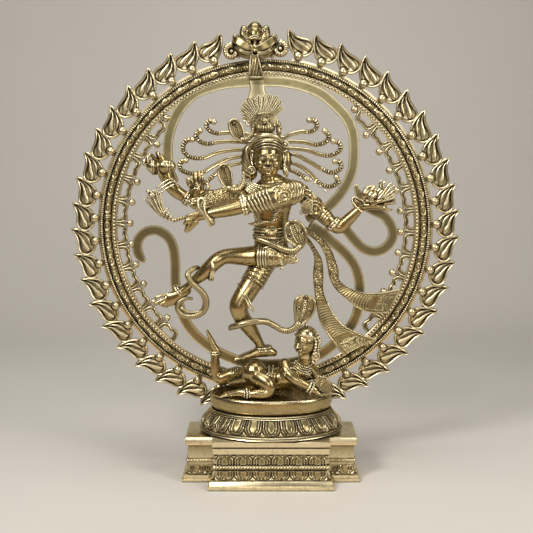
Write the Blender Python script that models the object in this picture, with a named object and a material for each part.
"""Brass Nataraja statue: a dancing figure in a flaming arch, on a small reclining figure, an oval
lotus pedestal and a stepped plinth. Lengths below are millimetres; the objects are made in metres.
The object stands on z = 0, the front faces -Y and the middle of the arch is x = 0."""
import math

import bmesh
import bpy
from mathutils import Vector

MM = 0.001
GAP = 0.4                      # clearance between neighbouring castings

# Driving dimensions
ARCH_Z = 292.0                 # height of the arch's middle
ARCH_Y = 30.0                  # plane of the arch
BASE_X = 6.5                   # the base stands a little right of the arch's middle
RAIL_RADII = (183.3, 192.0)
INNER_WIRE_RADII = (177.0, 183.0)
OUTER_WIRE_RADII = (192.3, 196.0)
FLANGE_RADII = (196.3, 199.3)
BEAD_RADIUS = 202.7            # circle that the balls between the flames sit on
FLAME_PITCH = {"left": 7.72, "right": 7.8}    # degrees
FLAME_HALF_DEPTH = 2.4
FLAMES_UPPER = 10
FLAMES_LOWER = 10
FIRST_BALL = {"left": 107.1, "right": 79.3}    # degrees, next to the mask
ARCADE_RADII = (164.8, 176.7)
ARCADE_PITCH = 8.9             # degrees
BAND_HALF_WIDTH = 6.0
BAND_Y = (27.5, 32.5)
PLATFORM_Z = (82.5, 100.5)
LOTUS_Z = (56.9, 82.2)
PLINTH_TOP = 56.6
WING_TOP = 54.3
WALL = 4.0
BOLT_X = (BASE_X - 47.0, BASE_X + 47.0)
BOLT_RADIUS = 3.0
TOP_Z = 529.0                  # top of the mask


# ---------------------------------------------------------------- curves and outlines

def catmull(values, steps):
    """Smooth list of tuples: steps stretches between each two given ones."""
    count = len(values)
    smooth = []
    for i in range(count - 1):
        before, start = values[max(i - 1, 0)], values[i]
        end, after = values[i + 1], values[min(i + 2, count - 1)]
        for k in range(steps):
            t = k / steps
            smooth.append(tuple(
                0.5 * (2 * b + (c - a) * t + (2 * a - 5 * b + 4 * c - d) * t * t
                       + (3 * b - a - 3 * c + d) * t ** 3)
                for a, b, c, d in zip(before, start, end, after)))
    smooth.append(tuple(values[-1]))
    return smooth


def counter_clockwise(outline):
    """The same (x, z) outline, running counter-clockwise."""
    twice_area = sum(a[0] * b[1] - b[0] * a[1] for a, b in zip(outline, outline[1:] + outline[:1]))
    return outline if twice_area > 0 else outline[::-1]


def offset(outline, distance):
    """Counter-clockwise (x, z) outline moved outwards by distance."""
    moved = []
    count = len(outline)
    for i in range(count):
        back = Vector(outline[i]) - Vector(outline[i - 1])
        ahead = Vector(outline[(i + 1) % count]) - Vector(outline[i])
        first = Vector((back.y, -back.x)).normalized()
        second = Vector((ahead.y, -ahead.x)).normalized()
        miter = first + second
        miter = miter / max(miter.length_squared / 2, 0.4)
        moved.append((outline[i][0] + miter.x * distance, outline[i][1] + miter.y * distance))
    return moved


def polar(radius, degrees):
    """(x, z) of a point at an angle round the arch's middle, 90 degrees being the top."""
    angle = math.radians(degrees)
    return radius * math.cos(angle), ARCH_Z + radius * math.sin(angle)


def arc(radius, start, end, count):
    """(x, z) points along a stretch of a circle round the arch's middle."""
    return [polar(radius, start + (end - start) * i / count) for i in range(count + 1)]


# ---------------------------------------------------------------- shapes
# Each maker returns a function of a growth in millimetres that gives (points, faces), so that a
# neighbour can be trimmed with the same shape made slightly larger.

def sweep(stations, sides=8, steps=2):
    """Closed body through (x, y, z, half width, half depth); the width lies across the run in the
    XZ plane and the depth mostly along Y."""
    def shape(grow=0.0):
        rings = catmull(stations, steps) if steps > 1 else [tuple(s) for s in stations]
        centres = [Vector(r[:3]) for r in rings]
        points = []
        last = len(rings) - 1
        side = None
        for i, ring in enumerate(rings):
            run = (centres[min(i + 1, last)] - centres[max(i - 1, 0)]).normalized()
            across = run.cross(Vector((0, 1, 0)))
            if across.length < 0.25:
                across = side - run * side.dot(run) if side else Vector((1, 0, 0))
            across.normalize()
            if side and across.dot(side) < 0:
                across = -across
            side = across
            deep = across.cross(run).normalized()
            centre = centres[i] + run * (grow if i == last else -grow if i == 0 else 0.0)
            for k in range(sides):
                turn = 2 * math.pi * (k + 0.5) / sides
                wide = (ring[3] + grow) * math.cos(turn)
                thick = (ring[4] + grow) * math.sin(turn)
                points.append(centre + across * wide + deep * thick)
        return points, tube_faces(len(rings), sides)
    return shape


def tube_faces(rings, sides, closed=False):
    """Triangles between successive rings of points, with a cap on each end unless it closes."""
    faces = []
    for i in range(rings if closed else rings - 1):
        here = i * sides
        there = ((i + 1) % rings) * sides
        for k in range(sides):
            after = (k + 1) % sides
            faces.append((here + k, here + after, there + after))
            faces.append((here + k, there + after, there + k))
    if not closed:
        faces.append(tuple(reversed(range(sides))))
        faces.append(tuple((rings - 1) * sides + k for k in range(sides)))
    return faces


def plate(outline, y_front, y_back):
    """Flat plate with an (x, z) outline, between two Y planes."""
    def shape(grow=0.0):
        edge = offset(counter_clockwise(outline), grow)
        count = len(edge)
        points = [Vector((x, y_front - grow, z)) for x, z in edge]
        points += [Vector((x, y_back + grow, z)) for x, z in edge]
        return points, tube_faces(2, count)
    return shape


def hoop(radii, half_depth, segments, bulge=0.0, start=None, end=None):
    """Bar round the arch's middle, full circle or from start to end degrees; bulge crowns its
    front and back."""
    def shape(grow=0.0):
        low, high = radii[0] - grow, radii[1] + grow
        middle = (low + high) / 2
        depth = half_depth + grow
        edge = depth - bulge
        profile = [(low, -edge), (middle, -depth), (high, -edge), (high, edge), (middle, depth), (low, edge)]
        if not bulge:
            profile = [(low, -depth), (high, -depth), (high, depth), (low, depth)]
        full = start is None
        count = segments if full else segments + 1
        points = []
        for i in range(count):
            turn = 360.0 * i / segments if full else start + (end - start) * i / segments
            for radius, y in profile:
                x, z = polar(radius, turn)
                points.append(Vector((x, ARCH_Y + y, z)))
        return points, tube_faces(count, len(profile), closed=full)
    return shape


def oval(levels, sides=32, x=BASE_X, y=0.0):
    """Upright body of elliptical levels (z, half width, half depth)."""
    def shape(grow=0.0):
        points = []
        for i, (z, wide, deep) in enumerate(levels):
            lift = grow if i == len(levels) - 1 else -grow if i == 0 else 0.0
            for k in range(sides):
                turn = 2 * math.pi * k / sides
                points.append(Vector((x + (wide + grow) * math.cos(turn),
                                      y + (deep + grow) * math.sin(turn), z + lift)))
        return points, tube_faces(len(levels), sides)
    return shape


def stack(levels, x=BASE_X):
    """Upright body of rectangular levels (z, half width, half depth)."""
    def shape(grow=0.0):
        points = []
        for z, wide, deep in levels:
            for right, back in ((1, -1), (1, 1), (-1, 1), (-1, -1)):
                points.append(Vector((x + right * (wide + grow), back * (deep + grow), z)))
        return points, tube_faces(len(levels), 4)
    return shape


def ball(centre, radius, sides=8):
    """Small ball, turned about Z."""
    levels = [(math.sin(a) * radius, math.cos(a) * radius)
              for a in (math.radians(d) for d in (-75, -35, 0, 35, 75))]
    return oval([(centre[2] + h, r, r) for h, r in levels], sides, centre[0], centre[1])


# ---------------------------------------------------------------- nodes

NODES = {}


def brass(name, colour, roughness):
    """Plain brass finish for one node."""
    material = bpy.data.materials.new(name + "_brass")
    material.use_nodes = True
    surface = material.node_tree.nodes["Principled BSDF"]
    surface.inputs["Base Color"].default_value = (*colour, 1.0)
    surface.inputs["Metallic"].default_value = 1.0
    surface.inputs["Roughness"].default_value = roughness
    return material


def mesh_object(name, shape, grow=0.0):
    """One object from a shape, with its faces turned outwards."""
    points, faces = shape(grow)
    mesh = bpy.data.meshes.new(name)
    mesh.from_pydata([p * MM for p in points], [], faces)
    work = bmesh.new()
    work.from_mesh(mesh)
    bmesh.ops.recalc_face_normals(work, faces=work.faces)
    work.to_mesh(mesh)
    work.free()
    item = bpy.data.objects.new(name, mesh)
    bpy.context.scene.collection.objects.link(item)
    return item


def helper(item):
    """Mark an object as a Boolean's operand only."""
    item.hide_render = True
    item.display_type = "WIRE"
    item.hide_viewport = False
    return item


def boolean(item, operation, operand):
    """Add one exact Boolean to an object."""
    change = item.modifiers.new(operation.lower(), "BOOLEAN")
    change.operation = operation
    change.solver = "EXACT"
    change.object = helper(operand)


POLISHED = (0.60, 0.44, 0.20)
AGED = (0.33, 0.27, 0.13)
SATIN = (0.42, 0.36, 0.18)


def node(name, shapes, colour=POLISHED, trimmed_by=(), holes=(), roughness=0.35):
    """One casting: its shapes joined, its holes cut, and trimmed clear of earlier neighbours."""
    item = mesh_object(name, shapes[0])
    item.data.materials.append(brass(name, colour, roughness))
    for i, shape in enumerate(shapes[1:]):
        boolean(item, "UNION", mesh_object(f"{name}.join{i}", shape))
    for i, shape in enumerate(holes):
        boolean(item, "DIFFERENCE", mesh_object(f"{name}.hole{i}", shape))
    for other in trimmed_by:
        for i, shape in enumerate(NODES[other]):
            boolean(item, "DIFFERENCE", mesh_object(f"{name}.{other}{i}", shape, GAP))
    NODES[name] = shapes
    item.data.shade_smooth()
    item.data.set_sharp_from_angle(angle=math.radians(35))
    return item


# ---------------------------------------------------------------- base

def build_base():
    wings = stack([(0, 104.2, 31), (6, 104.2, 31), (10, 101, 29), (18, 99, 28), (43, 98, 28),
                   (45, 100, 30), (WING_TOP, 100, 30)])
    middle = stack([(0, 72.4, 57), (10.6, 72.4, 57), (12, 69.8, 55), (23, 66, 52), (30, 67.5, 53),
                    (40, 65.4, 51), (42.5, 67.4, 53), (PLINTH_TOP, 67.4, 53)])
    wing_hollow = stack([(-5, 96, 25), (WING_TOP - WALL, 93, 23)])
    hollow = stack([(-5, 61, 48), (PLINTH_TOP - WALL, 59, 46)])
    lotus_hollow = oval([(50, 42, 45), (76.6, 40, 38)])
    platform_hollow = oval([(78, 54, 26), (96, 52, 24)])
    shanks = [bolt_shank(x, GAP) for x in BOLT_X]
    node("plinth", [wings, middle], AGED, holes=[wing_hollow, hollow] + shanks)
    node("lotus_pedestal", [oval([(LOTUS_Z[0], 80, 52.5), (59, 85.4, 57), (63, 84.8, 56.5), (70, 81.4, 53.4),
                                  (76, 75.4, 47.6), (79, 71.8, 44.4), (LOTUS_Z[1], 71.8, 44)])],
         AGED, holes=[lotus_hollow] + shanks)
    node("oval_platform", [oval([(PLATFORM_Z[0], 68, 40), (86, 71.4, 42.6), (91, 72.4, 43), (98, 71.8, 42.6),
                                 (PLATFORM_Z[1], 70, 41.4)])], POLISHED,
         holes=[hoop((170, 196.8), 6.8, 60), platform_hollow])
    for side, x in zip(("left", "right"), BOLT_X):
        head = oval([(45, 5.5, 5.5), (50, 5.5, 5.5), (50.5, 7.5, 7.5), (PLINTH_TOP - WALL - GAP, 7.5, 7.5)], 12, x)
        node("fixing_bolt_" + side, [bolt_shank(x, 0.0), head], SATIN)


def bolt_shank(x, clearance):
    """Shank from the plinth's hollow up into the lotus."""
    radius = BOLT_RADIUS + clearance
    return oval([(47.0, radius, radius), (73.0 + clearance, radius, radius)], 12, x)


# ---------------------------------------------------------------- arch

LEAF = ((199.2, -4.2), (204.0, -6.4), (207.0, -10.8), (210.8, -13.2), (214.8, -14.4), (218.6, -13.6),
        (221.8, -10.8), (223.2, -3.0), (224.4, 5.0), (227.6, 10.0), (232.0, 14.2), (226.4, 13.6),
        (218.6, 12.2), (211.0, 9.6), (206.8, 5.0), (203.0, 5.2), (199.6, 3.6))


def flame_strip(side, skipped, count):
    """Flange with flame leaves and balls down one side of the arch, after the skipped ones."""
    down = 1 if side == "left" else -1
    pitch = down * FLAME_PITCH[side]
    first = FIRST_BALL[side] + pitch * skipped
    last = first + pitch * (count - 1)
    outline = []
    for i in range(count):
        middle = first + pitch * i
        for radius, shift in reversed(LEAF):
            outline.append(polar(radius, middle - down * math.degrees(shift / BEAD_RADIUS)))
    start = first - pitch * 0.22
    end = last + pitch * (0.77 if skipped == 0 else 0.30)
    inner = arc(FLANGE_RADII[0], end, start, count * 2)
    edge = [polar(FLANGE_RADII[1], start)] + outline + [polar(FLANGE_RADII[1], end)] + inner
    return plate(edge, ARCH_Y - FLAME_HALF_DEPTH, ARCH_Y + FLAME_HALF_DEPTH)


def end_knob(angle, way):
    """Ball that closes a row of loops at its upper end."""
    return [polar(169.8, angle), polar(170.4, angle + 1.8 * way), polar(173.0, angle + 2.8 * way),
            polar(176.0, angle + 2.2 * way)]


def arcade(first, last, top_is_last):
    """Row of rounded loops along the arch's inner side, each joint carrying a ball."""
    count = round(abs(last - first) / ARCADE_PITCH)
    step = (last - first) / count
    inner = []
    for i in range(count):
        edge = first + step * i
        for share, radius in ((0.08, 166.2), (0.3, ARCADE_RADII[0]), (0.7, ARCADE_RADII[0]), (0.92, 166.2)):
            inner.append(polar(radius, edge + step * share))
        if i < count - 1:
            middle = edge + step
            for shift, radius in ((-1.1, 161), (-0.7, 156.6), (0.7, 156.6), (1.1, 161)):
                inner.append(polar(radius, middle + shift))
    outer = arc(ARCADE_RADII[1], last, first, count * 2)
    if top_is_last:
        inner += end_knob(last, 1)
    else:
        outer += reversed(end_knob(first, -1))
    return plate(inner + outer, ARCH_Y - 3, ARCH_Y + 3)


def build_arch():
    node("ring_rail", [hoop(RAIL_RADII, 6.4, 60, bulge=2.0)], AGED)
    node("inner_bead_wire", [hoop(INNER_WIRE_RADII, 3.4, 60)], AGED)
    node("outer_bead_wire", [hoop(OUTER_WIRE_RADII, 3.6, 60)], AGED)
    for side in ("left", "right"):
        node(f"flame_strip_{side}_upper", [flame_strip(side, 0, FLAMES_UPPER)], AGED)
        node(f"flame_strip_{side}_lower", [flame_strip(side, FLAMES_UPPER, FLAMES_LOWER)], AGED,
             trimmed_by=("lotus_pedestal", "oval_platform"))
    node("arcade_right", [arcade(-45.2, 51.8, True)], AGED)
    node("arcade_left", [arcade(133.4, 231.3, False)], AGED)
    node("arch_stay", [plate([(-12, PLATFORM_Z[1] + GAP), (25, PLATFORM_Z[1] + GAP), (20, 116), (12, 122),
                              (0, 122), (-7, 116)], 37.0, 41.0)], SATIN)


def build_mask():
    node("lion_mask", [sweep([(-10, 29, 491, 14, 8), (-11, 28, 499, 21, 11), (-12, 27, 508, 23, 13),
                              (-12, 27, 517, 20, 12), (-12, 28, 524, 14, 9), (-12, 29, TOP_Z, 6, 5)], 10)],
         AGED, trimmed_by=("ring_rail", "outer_bead_wire", "flame_strip_left_upper",
                           "flame_strip_right_upper"))
    for side, x, z in (("left", -39, 496), ("right", 17, 499)):
        node("mask_curl_" + side, [ball((x, 22, z), 9.5, 12)], AGED,
             trimmed_by=("ring_rail", "outer_bead_wire", "inner_bead_wire", "lion_mask",
                         "flame_strip_left_upper", "flame_strip_right_upper"))
    node("mask_pendant", [sweep([(-13, 18, 492, 5.5, 3), (-12, 17, 482, 7.5, 3), (-11, 18, 470, 9.5, 3),
                                 (-11, 19, 466, 8, 2)], 8)], AGED,
         trimmed_by=("ring_rail", "lion_mask", "inner_bead_wire", "mask_curl_left", "mask_curl_right"))


# ---------------------------------------------------------------- flat band inside the arch

def band(points, half_width=BAND_HALF_WIDTH):
    """Flat band through (x, z) points, or (x, z, half width) where it tapers."""
    middle = sum(BAND_Y) / 2
    deep = (BAND_Y[1] - BAND_Y[0]) / 2
    stations = [(p[0], middle, p[1], p[2] if len(p) > 2 else half_width, deep * math.sqrt(2)) for p in points]
    return squared(stations)


def squared(stations, steps=2):
    """Sweep with a rectangular section."""
    wide = [(x, y, z, w * math.sqrt(2), d) for x, y, z, w, d in stations]
    return sweep(wide, 4, steps)


def build_band():
    node("band_upper", [band([(-108, 347), (-114, 364), (-115, 387), (-112, 405), (-104, 425), (-91, 442),
                              (-76, 452), (-54, 459), (-31, 462), (1, 463), (23, 462), (46, 457), (65, 449),
                              (82, 435), (95, 421), (102, 405), (104, 387), (103, 364), (96, 345), (84, 327),
                              (70, 314), (50, 304)])], SATIN,
         trimmed_by=("inner_bead_wire", "ring_rail", "arcade_left", "arcade_right"))
    node("band_lower", [band([(54, 295), (66, 287), (78, 277), (93, 264), (104, 251), (110, 238), (113, 222),
                              (112, 197), (106, 178), (92, 161), (71, 141), (42, 130), (5, 126), (-30, 130),
                              (-55, 140), (-73, 152), (-86, 164), (-97, 180), (-104, 200), (-108, 225),
                              (-108, 249), (-110, 268), (-116, 281), (-128, 289), (-141, 288), (-151, 279),
                              (-153, 268), (-151, 260), (-146, 253, 4)])], SATIN,
         trimmed_by=("arcade_left",))
    node("band_tail", [band([(89, 300), (96, 290), (105, 279), (115, 269), (127, 264), (139, 266), (148, 274),
                             (152, 285), (148, 297), (140, 307), (126, 314), (114, 325), (106, 343, 2)])],
         SATIN, trimmed_by=("band_upper", "band_lower", "arcade_right"))


# ---------------------------------------------------------------- figure

def build_body():
    node("torso", [sweep([(6, 2, 276, 17, 13), (6, 2, 285, 16, 12), (7, 2, 297, 16, 12), (7, 1, 310, 18, 13),
                          (7, 1, 321, 23, 15), (7, 1, 332, 29, 15), (7, 2, 341, 30, 12), (6, 2, 347, 15, 9),
                          (5, 0, 353, 8.5, 8)], 12)], POLISHED)
    node("head", [sweep([(3, -1, 352.5, 8, 8), (3, -3, 357, 8.5, 9), (3, -4, 362, 13, 14), (3, -3, 375, 17, 17),
                         (3, -1, 388, 17, 17), (3, 0, 397, 13, 13)], 12)], POLISHED, trimmed_by=("torso",))
    node("crown", [sweep([(3, 0, 393, 17.5, 16), (2, 1, 399, 16, 15.5), (0, 1, 404, 10, 12), (-1, 0, 408, 9, 9),
                          (-1, 0, 414, 8, 8), (-2, 0, 420, 4, 4)], 12)], AGED, trimmed_by=("head",))
    node("crest_fan", [plate([(-12, 398), (8, 398), (16, 412), (26, 428), (20, 441), (12, 447), (2, 451),
                              (-8, 452), (-18, 450), (-27, 444), (-33, 434), (-36, 424), (-24, 412)],
                             15.5, 19)], AGED, trimmed_by=("head", "crown"))
    node("crest_bridge", [sweep([(-11, 26, 462, 9, 2.5), (-10, 24, 455, 8, 2.5), (-9, 22.5, 445, 10, 2.5),
                                 (-9, 21.6, 436, 11, 2.5)], 6)], SATIN,
         trimmed_by=("band_upper", "crest_fan"))
    node("hip_cloth", [sweep([(4, 2, 275.6, 19, 13), (-2, 0, 268, 20, 15), (-5, -1, 257, 17, 14),
                              (-5, -1, 248, 9, 9)], 12)], AGED, trimmed_by=("torso",))
    node("standing_leg", [sweep([(3, 0, 262, 14, 12), (-7, -5, 245, 13.5, 13), (-22, -12, 224, 12.5, 12),
                                 (-33, -16, 206, 11, 11), (-29, -14, 196, 9.5, 10), (-22, -9, 186, 9, 9),
                                 (-14, -5, 174, 7.5, 8), (-6, -2, 159, 5, 5.5), (-2, -1, 147, 5.5, 6)]),
                          sweep([(11, 0, 145, 4, 5), (1, -1, 146, 5.5, 6), (-14, -2, 144, 5, 7),
                                 (-28, -3, 142, 3.5, 7), (-34, -3, 140.5, 2, 5)])],
         POLISHED, trimmed_by=("hip_cloth",))
    node("raised_leg", [sweep([(-6, -4, 262, 13, 11), (-28, -15, 265, 12.5, 12), (-50, -23, 266, 11, 11),
                               (-62, -25, 257, 9.5, 10), (-75, -24, 243, 7.5, 8), (-89, -22, 231, 5.5, 6),
                               (-98, -21, 223, 6, 6), (-109, -21, 216, 6.5, 4.5), (-121, -22, 213, 6, 3),
                               (-128, -22, 212, 3, 2)])],
         POLISHED, trimmed_by=("hip_cloth", "standing_leg"))


def build_arms():
    node("crossing_arm", [sweep([(36, -4, 336, 11, 9), (22, -15, 332, 14, 10), (4, -24, 328, 13.5, 9),
                                 (-12, -29, 325, 11.5, 8), (-24, -31, 322, 9, 8), (-45, -31, 318, 7.3, 7),
                                 (-68, -31, 313, 5.2, 5.2), (-78, -31, 309, 6.5, 4), (-86, -31, 301, 4, 3),
                                 (-90, -31, 294, 2, 2)])],
         POLISHED, trimmed_by=("torso", "head"))
    node("abhaya_arm", [sweep([(-16, 1, 336, 9, 8), (-40, -1, 334, 10, 8), (-62, -6, 327, 8, 7),
                               (-76, -12, 321, 6.5, 6), (-82, -16, 327, 5.5, 5.5), (-80, -19, 336, 5, 4.5),
                               (-77, -20, 344, 7.5, 3.5), (-76, -21, 353, 7, 2.5), (-76, -21, 360, 4, 2)])],
         POLISHED, trimmed_by=("torso", "crossing_arm"))
    node("drum_arm", [sweep([(-16, 13, 338, 7, 5), (-45, 15, 333, 7, 5), (-75, 13, 331, 7, 5.5),
                             (-93, 10, 334, 7, 6), (-104, 8, 342, 6.5, 6), (-111, 7, 350, 5, 5),
                             (-114, 5, 358, 6, 5), (-115, 3, 367, 7, 5), (-116, 3, 374, 4, 4)])],
         POLISHED, trimmed_by=("torso", "abhaya_arm"))
    node("flame_arm", [sweep([(26, 7, 340, 9, 8), (44, 11, 333, 10, 8), (62, 12, 316, 9, 8), (75, 12, 302, 8, 8),
                              (84, 12, 294, 7, 7), (91, 11, 302, 6.8, 6.8), (99, 9, 311, 6, 6),
                              (108, 7, 318, 5, 5), (118, 5, 322, 6, 4.5), (133, 4, 321, 7, 4),
                              (146, 3, 319, 5, 3), (152, 3, 318, 2, 2)])],
         POLISHED, trimmed_by=("torso", "head", "crossing_arm"))
    node("drum", [sweep([(-129, -8, 366, 7.2, 7.2), (-121.4, -8, 366, 4.2, 4.2), (-108, -8, 366, 7.4, 7.4)], 10)],
         POLISHED, trimmed_by=("drum_arm",))
    node("palm_flame", [sweep([(137, 4, 325, 8, 5), (137, 4, 333, 10, 5), (136, 4, 341, 8, 4),
                               (135, 4, 349, 2, 2)])], POLISHED, trimmed_by=("flame_arm",))


LOCKS_LEFT = (
    ((-10, 400), (-26, 403), (-43, 404), (-56, 403), (-64, 406), (-68, 412), (-64, 417), (-59, 416)),
    ((-12, 392), (-40, 394), (-56, 393), (-67, 391), (-76, 394), (-80, 401), (-75, 406)),
    ((-13, 385), (-39, 384), (-56, 381), (-72, 375), (-87, 376), (-95, 384), (-92, 394), (-84, 396)),
    ((-13, 378), (-39, 375), (-56, 368), (-72, 359), (-87, 357), (-98, 362), (-98, 370), (-92, 372)),
    ((-12, 371), (-40, 367), (-56, 358), (-69, 347), (-80, 342), (-88, 344), (-89, 350)),
)
LOCKS_RIGHT = (
    ((12, 401), (20, 398), (29, 402), (42, 405), (52, 405), (59, 410), (57, 417), (50, 418)),
    ((14, 394), (29, 394), (45, 393), (58, 390), (69, 393), (73, 400), (68, 406)),
    ((17, 386), (31, 386), (48, 384), (63, 379), (76, 378), (86, 384), (85, 392), (78, 394)),
    ((17, 379), (33, 379), (50, 371), (64, 363), (77, 358), (87, 363), (86, 370), (80, 371)),
    ((17, 372), (29, 370), (43, 364), (54, 355), (64, 345), (75, 342), (84, 347), (82, 353)),
    ((14, 364), (29, 361), (40, 356), (48, 351)),
)


def hair_lock(points):
    """One lock of hair lying in a plane behind the head, thicker towards its curled end."""
    last = len(points) - 1
    return sweep([(x, 12, z, 1.9 + 0.8 * i / last, 1.9 + 0.8 * i / last)
                  for i, (x, z) in enumerate(points)], 6)


def build_hair():
    for side, locks in (("left", LOCKS_LEFT), ("right", LOCKS_RIGHT)):
        for i, points in enumerate(locks):
            node(f"hair_lock_{side}_{i + 1}", [hair_lock(points)], AGED,
                 trimmed_by=("head", "crown", "crest_fan", "drum_arm", "flame_arm", "abhaya_arm"))


def build_serpents():
    node("crown_cobra", [sweep([(0, 6, 425, 2, 2), (-9, 5, 425, 2, 2), (-14, 4, 419, 2, 2), (-13, 4, 409, 2, 2),
                                (-17, 4, 400, 2.4, 2), (-24, 4, 396, 3, 2), (-31, 4, 400, 7, 1.8),
                                (-36, 4, 409, 8.5, 1.8), (-40, 4, 418, 5, 1.8), (-41, 4, 421, 2, 1.5)], 6)],
         AGED, trimmed_by=("crown", "head", "crest_fan"))
    node("arm_cobra", [sweep([(-25, -9, 352, 2, 2), (-25, -10, 345, 2.3, 2.3), (-30, -12, 339, 2.6, 2.6),
                              (-38, -12, 338, 3, 2.6), (-43, -11, 343, 6, 2), (-45, -10, 352, 8, 2),
                              (-47, -10, 361, 7, 2), (-48, -10, 368, 2.5, 1.5)], 6)],
         AGED, trimmed_by=("torso", "abhaya_arm", "crossing_arm"))
    node("wrist_serpent", [sweep([(-60, -30, 306, 1.7, 1.7), (-62, -38, 309, 1.7, 1.7), (-66, -39, 316, 1.7, 1.7),
                                  (-70, -36, 324, 1.8, 1.7), (-73, -34, 331, 3, 1.7), (-69, -33, 333, 3, 1.7),
                                  (-65, -37, 322, 1.8, 1.7), (-63, -39, 313, 1.7, 1.7)], 6)],
         AGED, trimmed_by=("crossing_arm", "abhaya_arm"))
    node("whisk_snake", [sweep([(-92, -29, 307, 2, 2), (-99, -29, 305, 2.4, 2.4), (-106, -29, 308, 4, 3),
                                (-114, -29, 316, 8, 4), (-122, -29, 327, 10, 4.5), (-127, -29, 335, 6, 4),
                                (-129, -29, 339, 3, 3)], 8)],
         AGED, trimmed_by=("crossing_arm", "raised_leg"))
    node("waist_cobra", [sweep([(-6, -14, 284, 3, 3), (8, -17, 280, 3.2, 3.2), (20, -19, 273, 3.2, 3.2),
                                (31, -19, 270, 3.4, 3.2), (40, -18, 273, 4, 3), (43, -17, 280, 7, 2.4),
                                (39, -17, 289, 11, 2.4), (34, -17, 298, 8.5, 2.2), (30, -17, 305, 3, 2)], 8)],
         AGED, trimmed_by=("torso", "hip_cloth", "crossing_arm"))
    node("leg_cobra", [sweep([(-44, -14, 184, 2.5, 3), (-36, -24, 186, 3.2, 3.2), (-22, -24, 189, 3.2, 3.2),
                              (-8, -19, 188, 3.2, 3.2), (4, -15, 185, 3.2, 3.2), (14, -14, 179, 3.2, 3.2),
                              (24, -14, 177, 3.4, 3.2), (34, -14, 183, 4.5, 3), (40, -14, 193, 8, 2.4),
                              (44, -14, 204, 12, 2.4), (47, -14, 214, 8, 2.2), (48, -14, 220, 3, 2)], 8)],
         AGED, trimmed_by=("standing_leg",))
    node("ankle_serpent", [sweep([(-82, -28, 250, 2.8, 2.8), (-87, -31, 246, 2.9, 2.9), (-84, -32, 238, 3, 3), (-77, -32, 231, 3.2, 3),
                                  (-71, -30, 223, 3.5, 3.2), (-68, -28, 213, 3.7, 3.4), (-70, -27, 204, 3.6, 3.4),
                                  (-77, -26, 198, 3.4, 3.2), (-88, -26, 196, 3.2, 3), (-97, -26, 200, 3, 2.8),
                                  (-100, -26, 206, 2.8, 2.6), (-96, -27, 210, 2.6, 2.4)], 8)],
         AGED, trimmed_by=("raised_leg",))


def build_sashes():
    node("sash_upper", [squared([(34, 17, 304, 3, 2), (46, 17, 297, 3, 2), (60, 17, 286, 4, 2), (73, 17, 271, 5, 2),
                                 (81, 16, 254, 6.5, 2), (85, 15, 236, 8, 2), (94, 14, 220, 9, 2),
                                 (109, 13, 210, 10, 2), (127, 12, 206, 12, 2), (149, 12, 208, 15, 2)])],
         AGED, trimmed_by=("torso", "flame_arm"))
    node("sash_lower", [squared([(32, 8, 300, 3, 2), (46, 8, 289, 4, 2), (57, 8, 271, 5, 2), (62, 7, 251, 6.5, 2),
                                 (62, 6, 229, 7.5, 2), (65, 5, 207, 8.5, 2), (74, 5, 186, 10.5, 2),
                                 (88, 5, 170, 12, 2), (112, 5, 156, 15, 2)])],
         AGED, trimmed_by=("torso", "sash_upper", "flame_arm"))


def build_dwarf():
    node("dwarf_body", [sweep([(-38, 1, 113, 7, 9), (-27, -2, 116, 13, 14), (-14, -4, 118, 17, 17),
                               (0, -4, 117, 15.5, 16), (14, -4, 117, 15, 16), (28, -5, 121, 15, 16),
                               (40, -6, 128, 13, 15), (46, -8, 137, 9, 11), (47, -9, 145, 7, 8)], 10),
                        sweep([(22, -14, 134, 8, 7), (30, -23, 128, 7, 6.5), (42, -27, 120, 6, 6),
                               (53, -27, 112, 5, 5), (62, -26, 109, 5, 4)], 8),
                        sweep([(-14, -10, 124, 11, 9), (-4, -22, 116, 9.5, 8), (6, -29, 110, 8, 7),
                               (0, -32, 108, 6, 5.5), (-18, -31, 107, 5, 5), (-34, -27, 106, 4, 4),
                               (-48, -23, 105, 4, 3.5)], 8)],
         POLISHED, trimmed_by=("standing_leg", "oval_platform"))
    node("dwarf_lifted_leg", [sweep([(-28, 7, 117, 9, 8), (-42, 10, 116, 8.5, 8), (-53, 11, 114, 7.5, 7.5),
                                     (-59, 12, 122, 6.5, 6.5), (-60, 12, 136, 5.5, 5.5), (-60, 12, 147, 4.5, 4.5),
                                     (-64, 12, 159, 5, 5), (-70, 12, 170, 2.5, 3.5)])],
         POLISHED, trimmed_by=("dwarf_body", "oval_platform"))
    node("dwarf_head", [sweep([(46, -10, 149, 8, 9), (46, -11, 155, 11.5, 12), (47, -10, 163, 13, 14),
                               (48, -9, 173, 12, 13), (48, -9, 181, 6, 7)], 10)],
         POLISHED, trimmed_by=("dwarf_body",))
    node("dwarf_shield", [sweep([(60, -24, 120, 5, 6), (66, -22, 122, 7, 7), (72, -20, 118, 6, 6),
                                 (76, -18, 113, 3, 3)], 8)],
         AGED, trimmed_by=("dwarf_body", "dwarf_head", "oval_platform"))


def main():
    for item in list(bpy.data.objects):
        bpy.data.objects.remove(item, do_unlink=True)
    build_base()
    build_arch()
    build_mask()
    build_band()
    build_body()
    build_arms()
    build_hair()
    build_serpents()
    build_sashes()
    build_dwarf()


main()
